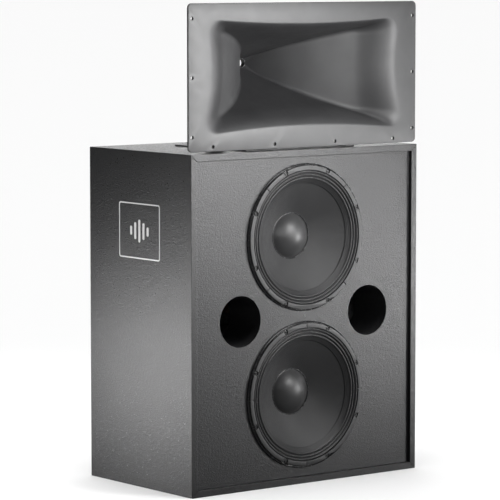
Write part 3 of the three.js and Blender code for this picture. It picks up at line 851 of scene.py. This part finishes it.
def dust_cap_mesh(name):
    """A dome with a small rolled foot."""
    base, thickness = CONE_FOOT, 1.0 * MM
    radius = (base * base + DUST_CAP_RISE * DUST_CAP_RISE) / (2 * DUST_CAP_RISE)
    foot = cone_height(base) + 0.9 * MM
    centre = foot + DUST_CAP_RISE - radius
    angles = np.linspace(0, math.asin(base / radius), 28)
    outside, inside = [
        [(size * math.sin(a), centre + size * math.cos(a)) for a in angles]
        for size in (radius, radius - thickness)
    ]
    rim = [(base + out * MM, foot - down * MM) for out, down in ((0.9, 0.2), (1.6, 0.4), (0.6, 0.9))]
    return lathe_mesh(name, outside + rim + inside[::-1], 96, closed=False)


# ---- Horn ----

# A section of the bell is given by its distance forward of the throat, its half width, and how far
# it rises and drops from the axis. Sizes in threes are for the sides, the top wall and the bottom wall.

HORN_LOW, HORN_HIGH = corners("horn_bell")
HORN_AXIS = middle_of("throat_plate").z
DEPTH = HORN_HIGH.y - HORN_LOW.y
THROAT = 12.7 * MM
BOSS = 45 * MM
FLANGE = 6.5 * MM
FLANGE_CORNER = 12 * MM
HOLE_RADIUS = 4.25 * MM
HOLE_INSET = 12 * MM
HOLE_RISES = (-150 * MM, 0, 150 * MM)
HOLES_OUT = (101 * MM, 302 * MM)
WALL = 5 * MM
SLOPES = (0.5, 0.39, 0.57)
FLARE = 2.4  # a side wall curves out by this times the square of the distance forward, in metres
SIDE_PINCH = 1.2  # how much wider a section is towards its corners than at its middle
TOP_PINCH = 0.11  # the share by which its top and bottom are drawn in at their middles
SQUARE_BY = 26 * MM  # by here the round throat has turned into a rectangle
CREASE = 205 * MM  # where the walls meet the rounded lips
LIPS = (96 * MM, 34 * MM, 46 * MM)
LIP_LEAD = 20 * MM  # how far the curve of a lip first follows its wall
ROUNDEST = 0.97  # a section's corner radius as a share of its half size, where it is all but a circle
SIDE_POINTS = 22
CORNER_POINTS = 8


def horn_ring(forward, half_width, up, down, corner, pinch):
    """One section of the horn: a rounded rectangle. pinch draws all four of its sides in at their middles."""
    corners_at = [(1, -1), (1, 1), (-1, 1), (-1, -1)]
    outline = []
    for i, (sx, sz) in enumerate(corners_at):
        reach = up if sz > 0 else down
        centre = (sx * (half_width - corner), sz * (reach - corner))
        outline += arc(centre, corner, -90 + 90 * i, 90 * i, CORNER_POINTS)
        nx, nz = corners_at[(i + 1) % 4]
        next_reach = up if nz > 0 else down
        goal_centre = (nx * (half_width - corner), nz * (next_reach - corner))
        start = outline[-1]
        goal = arc(goal_centre, corner, 90 * i, 90 * i, 1)[0]
        for step in range(1, SIDE_POINTS):
            t = step / SIDE_POINTS
            outline.append(tuple(a + (b - a) * t for a, b in zip(start, goal)))
    ring = []
    for x, z in outline:
        spread = 1 + pinch * SIDE_PINCH * z * z / half_width
        squeeze = 1 - pinch * TOP_PINCH * (1 - min(1, (x / half_width) ** 2))
        ring.append((x * spread, HORN_HIGH.y - forward, HORN_AXIS + z * squeeze))
    return ring


def wall_sizes(forward):
    """The sizes of the section here, and how fast each grows. The side walls curve out; the others don't."""
    side, up, down = SLOPES
    sizes = [THROAT + forward * slope for slope in (side + forward * FLARE, up, down)]
    return sizes, (side + 2 * forward * FLARE, up, down)


def bell_sections():
    """Rows of horn_ring's values, from the throat to the mouth: the walls first, then the lips."""
    near_throat = [0, 3, 7, 12, 18, 26, 36]
    rows = []
    for forward in np.array([*near_throat, *range(50, 186, 15), 196]) * MM:
        sizes, _ = wall_sizes(forward)
        square = min(1, forward / SQUARE_BY)
        corner = THROAT * ROUNDEST * (1 - square) + (2.5 * MM + forward * 0.06) * square
        rows.append((forward, *sizes, min(corner, min(sizes) * ROUNDEST), (forward / CREASE) ** 2))
    start, slopes = wall_sizes(CREASE)
    for t in np.linspace(0, 1, 20):
        forward = bezier(CREASE, CREASE + LIP_LEAD, DEPTH, DEPTH, t)
        sizes = [
            bezier(size, size + slope * LIP_LEAD, size + 0.6 * lip, size + lip, t)
            for size, slope, lip in zip(start, slopes, LIPS)
        ]
        rows.append((forward, *sizes, 16.6 * MM + 34 * MM * t, 1.0))
    return rows


def bezier(a, b, c, d, t):
    """A cubic curve's value at t, from a to d."""
    return (1 - t) ** 3 * a + 3 * t * (1 - t) ** 2 * b + 3 * t * t * (1 - t) * c + t ** 3 * d


def flange_ring(y, inset):
    """The flange's outline at y, drawn in by inset."""
    half = HORN_HIGH.x - inset
    up, down = HORN_HIGH.z - HORN_AXIS - inset, HORN_AXIS - HORN_LOW.z - inset
    ring = horn_ring(0, half, up, down, FLANGE_CORNER - inset, 0)
    return [(x, y, z) for x, _, z in ring]


def bell():
    """The moulding: its inside from the throat out, round the flange's edge, and back along its outside."""
    sections = bell_sections()
    inner = [horn_ring(*row) for row in sections]
    front, behind = HORN_LOW.y, HORN_LOW.y + FLANGE
    rim = [
        flange_ring(front, 1.6 * MM), flange_ring(front + 0.4 * MM, 0.5 * MM),
        flange_ring(front + 1.5 * MM, 0),
        flange_ring(behind - 1 * MM, 0), flange_ring(behind, 1 * MM),
    ]
    outer = []
    for forward, *sizes, pinch in reversed(sections[6:-5]):
        outer.append(horn_ring(min(forward, DEPTH - FLANGE), *(size + WALL for size in sizes), pinch))
    for forward, radius in ((14 * MM, BOSS - 4 * MM), (12 * MM, BOSS), (1 * MM, BOSS), (0, BOSS - 1 * MM)):
        outer.append(horn_ring(forward, radius, radius, radius, radius * ROUNDEST, 0))
    rings = [*inner, *rim, *outer]

    def build(shape):
        loops = [[shape.verts.new(p) for p in ring] for ring in rings]
        count = len(loops[0])
        for first, second in zip(loops, [*loops[1:], loops[0]]):
            for i in range(count):
                j = (i + 1) % count
                shape.faces.new((first[i], first[j], second[j], second[i]))

    mesh = mesh_by("horn_shell", build)
    cutters = [flange_hole(x, z, front) for x, z in flange_hole_places()]
    shell = cut_away(mesh, cutters)
    add_piece("horn_shell", shell, "horn_plastic", "horn", replaces=("horn_bell",), sharp=38)
    throat_sleeve()


def throat_sleeve():
    """A dark lining in the bore of the throat plate."""
    low, high = corners("throat_plate")
    inside, outside = THROAT - 0.9 * MM, THROAT - 0.1 * MM
    sleeve = rounded_profile([
        (inside, low.y), (outside, low.y), (outside, high.y), (inside, high.y),
    ], 0.2 * MM)
    mesh = lathe_mesh("throat_sleeve", [(radius, low.y - y) for radius, y in sleeve], 64)
    add_piece("throat_sleeve", mesh, "horn_plastic", "horn", facing_front(0, low.y, HORN_AXIS))


def flange_hole_places():
    """Three holes up each side of the flange and four along its bottom, as (x, z)."""
    middle = middle_of("horn_bell").z
    sides = [(s * (HORN_HIGH.x - HOLE_INSET), middle + rise) for s in (-1, 1) for rise in HOLE_RISES]
    return sides + [(s * x, HORN_LOW.z + HOLE_INSET) for s in (-1, 1) for x in HOLES_OUT]


def flange_hole(x, z, front):
    """A hole's cutter, with a small countersink at the front face."""
    profile = [
        (0, 2 * MM), (HOLE_RADIUS + 1.6 * MM, 2 * MM), (HOLE_RADIUS + 0.8 * MM, 0),
        (HOLE_RADIUS, -0.8 * MM), (HOLE_RADIUS, -20 * MM), (0, -20 * MM),
    ]
    mesh = lathe_mesh("hole", profile, 32, closed=False)
    mesh.transform(facing_front(x, front, z))
    return mesh


def bracket():
    """The parts that hold and tilt the horn."""
    softened("bracket_base", "bracket_plate", 0.5 * MM)
    for side in ("left", "right"):
        softened(f"{side}_stay", f"{side}_stay_plate", 0.5 * MM)
        softened(f"{side}_lug", f"{side}_lug_angle", 0.5 * MM)
        softened(f"{side}_tilt_knob", f"{side}_star_knob", 1.6 * MM, 4)
    softened("throat_plate", "throat_casting", 0.8 * MM)


# ---- Lining ----

TUFT_PITCH = 118 * MM
BATT_VOXEL = 9 * MM
BATT_EDGE = 22 * MM  # how far in from its edges a batt thins out


def wadding(node, thin, wall):
    """A tufted batt in a lining node's space. thin is the axis through it, and wall its face on the panel."""
    mesh = frame["nodes"][node].data.copy()
    holder = bpy.data.objects.new("holder", mesh)
    bpy.context.scene.collection.objects.link(holder)
    remesh = holder.modifiers.new("even", "REMESH")
    remesh.voxel_size = BATT_VOXEL
    depsgraph = bpy.context.evaluated_depsgraph_get()
    batt = bpy.data.meshes.new_from_object(holder.evaluated_get(depsgraph))
    bpy.data.objects.remove(holder)
    low, high = corners(node)
    wide = [axis for axis in range(3) if axis != thin]
    spans = {axis: high[axis] - low[axis] for axis in wide}
    tufts = {axis: round(spans[axis] / TUFT_PITCH) for axis in wide}
    for vertex in batt.vertices:
        place = vertex.co
        along = [(place[axis] - low[axis]) / spans[axis] * tufts[axis] for axis in wide]
        tuft = math.sqrt(abs(math.sin(math.pi * along[0]) * math.sin(math.pi * along[1])))
        edge = min(min(place[axis] - low[axis], high[axis] - place[axis]) for axis in wide)
        crown = 1 - 0.35 * max(0, 1 - edge / BATT_EDGE) ** 2
        lumps = 0.06 * noise.noise(place * 22)
        fill = crown * (0.6 + 0.32 * tuft + lumps)
        place[thin] = wall + (min(max(place[thin], low[thin]), high[thin]) - wall) * fill
    batt.update()
    add_piece(f"{node}_batt", batt, "lining_felt", replaces=(node,), sharp=80)


def linings():
    wadding("lining_left", 0, corners("lining_left")[0].x)
    wadding("lining_right", 0, corners("lining_right")[1].x)
    wadding("lining_rear", 1, corners("lining_rear")[1].y)


# ---- Rear connections ----

def connections():
    """The input cup with its four screws, and the nuts of its binding posts."""
    softened("input_cup", "input_dish", 0.6 * MM, 3)
    low, high = corners("input_cup")
    inset = 5 * MM
    spots = [(x, z) for x in (low.x + inset, high.x - inset) for z in (low.z + inset, high.z - inset)]
    for i, (x, z) in enumerate(spots):
        place = facing_back(x, high.y + 0.1 * MM, z)
        add_piece(f"cup_screw_{i + 1}", screw_head(2.6 * MM), "plain_steel", matrix=place)
    for colour in ("red", "black"):
        knurled_cap(colour)


def knurled_cap(colour):
    """The nut of a binding post: fluted round its side, with a rounded end and a plain bore."""
    low, high = corners(f"{colour}_cap")
    bore, radius, length = 3.3 * MM, (high.x - low.x) / 2, high.y - low.y
    profile = rounded_profile([
        (bore, 0), (radius, 0), (radius, length * 0.8), (radius * 0.86, length), (bore, length),
    ], 0.7 * MM, 4)
    mesh = lathe_mesh(f"{colour}_nut", profile, 96)
    flutes, depth = 18, 0.07
    for vertex in mesh.vertices:
        across = math.hypot(vertex.co.x, vertex.co.y)
        if across > radius * 0.8:
            flute = 0.5 - 0.5 * math.cos(flutes * math.atan2(vertex.co.y, vertex.co.x))
            shrink = 1 - depth * flute
            vertex.co.x *= shrink
            vertex.co.y *= shrink
    middle = (low + high) / 2
    place = facing_back(middle.x, low.y, middle.z)
    body = frame["nodes"][f"{colour}_cap"]["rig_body"]
    add_piece(f"{colour}_nut", mesh, SLOT_OF[f"{colour}_cap"], body, place, (f"{colour}_cap",), 60)


# ---- Room ----

FLOOR_SIZE = 400
FLOOR_TONE = 0.9
FLOOR_BOUNCE = 0.2  # the floor's tone in the light that it gives back to the object
HORIZON_IN_PAINT = 0.05  # the share of the horizon's light that falls on the object


def dimmed(tree, level):
    """1 where the camera sees something directly, and level where light bounces off it."""
    ray = tree.nodes.new("ShaderNodeLightPath")
    span = tree.nodes.new("ShaderNodeMapRange")
    span.inputs["To Min"].default_value = level
    tree.links.new(ray.outputs["Is Camera Ray"], span.inputs["Value"])
    return span.outputs["Result"]


def room():
    """A white floor, and a white horizon that darkens upwards."""
    def floor_shape(shape):
        bmesh.ops.create_grid(shape, x_segments=1, y_segments=1, size=FLOOR_SIZE)
    floor = bpy.data.objects.new("floor", mesh_by("floor", floor_shape))
    bpy.context.scene.collection.objects.link(floor)
    pale = Shader("floor", (FLOOR_TONE,) * 3, 0.7, Specular_IOR_Level=0.2)
    pale.colour_by(dimmed(pale.tree, 0.0), (FLOOR_BOUNCE,) * 3, (FLOOR_TONE,) * 3)
    floor.data.materials.append(pale.material)

    world = bpy.data.worlds.new("studio")
    world.use_nodes = True
    tree = world.node_tree
    way = tree.nodes.new("ShaderNodeTexCoord").outputs["Generated"]
    split = tree.nodes.new("ShaderNodeSeparateXYZ")
    tree.links.new(way, split.inputs[0])
    climb = tree.nodes.new("ShaderNodeMapRange")
    climb.inputs["From Min"].default_value = 0.02
    climb.inputs["From Max"].default_value = 0.2
    climb.inputs["To Min"].default_value = 0.9
    climb.inputs["To Max"].default_value = 0.1
    tree.links.new(split.outputs["Z"], climb.inputs["Value"])
    seen = tree.nodes.new("ShaderNodeMath")
    seen.operation = "MULTIPLY"
    tree.links.new(climb.outputs["Result"], seen.inputs[0])
    tree.links.new(dimmed(tree, HORIZON_IN_PAINT), seen.inputs[1])
    tree.links.new(seen.outputs["Value"], tree.nodes["Background"].inputs["Strength"])
    tree.nodes["Background"].inputs["Color"].default_value = (1, 1, 1, 1)
    bpy.context.scene.world = world
    bpy.context.scene.view_settings.view_transform = "Standard"


def add_lamp(name, data, place, aim):
    """Hangs a lamp at place, pointed at aim, out of the camera's sight."""
    lamp = bpy.data.objects.new(name, data)
    bpy.context.scene.collection.objects.link(lamp)
    lamp.location = place
    lamp.rotation_euler = (Vector(aim) - Vector(place)).to_track_quat("-Z", "Y").to_euler()
    lamp.visible_camera = False


def softbox(name, place, aim, size, power, spread):
    """A rectangular lamp. spread is the angle of its beam, in degrees."""
    data = bpy.data.lights.new(name, "AREA")
    data.spread = math.radians(spread)
    data.shape = "RECTANGLE"
    data.size, data.size_y = size
    data.energy = power
    add_lamp(name, data, place, aim)


def lights():
    """A broad sun overhead, and soft boxes before the front and the horn, at both sides and behind."""
    overhead = bpy.data.lights.new("overhead", "SUN")
    overhead.energy = 3.6
    overhead.angle = math.radians(50)
    add_lamp("overhead", overhead, (0, 0.001, 6), (0, 0, 0))
    softbox("front_high", (0.5, -1.7, 1.25), (-0.3, -0.2, 1.05), (0.6, 0.6), 9.5, 75)
    softbox("front_middle", (0.5, -1.4, 0.9), (-0.35, -0.2, 0.9), (0.4, 0.4), 0.8, 90)
    softbox("front_right", (1.45, -1.4, 0.4), (0.3, -0.2, 0.5), (0.4, 0.4), 3.9, 70)
    softbox("front_left", (-0.9, -2.0, 1.2), (0.15, -0.2, 1.1), (0.5, 0.5), 1.4, 50)
    softbox("before_horn", (0.1, -2.2, 1.1), (0.1, -0.2, 1.1), (0.4, 0.4), 0.5, 36)
    softbox("right_side", (2.6, -1.0, 1.1), (0, -0.2, 1.08), (0.5, 0.5), 0.7, 40)
    softbox("left_low", (-1.2, 0.75, 0.2), (-0.38, -0.15, 0.3), (0.3, 0.3), 4.3, 110)
    softbox("behind", (1.9, 2.4, 1.25), (0, 0, 0.88), (1.6, 0.5), 4.0, 120)


place_camera()
for node, piece in frame["nodes"].items():
    piece.data.materials.clear()
    piece.data.materials.append(MATERIALS[SLOT_OF[node]])
cabinet()
ports()
badge()
for where in ("upper", "lower"):
    woofer(where)
bell()
bracket()
linings()
connections()
room()
lights()
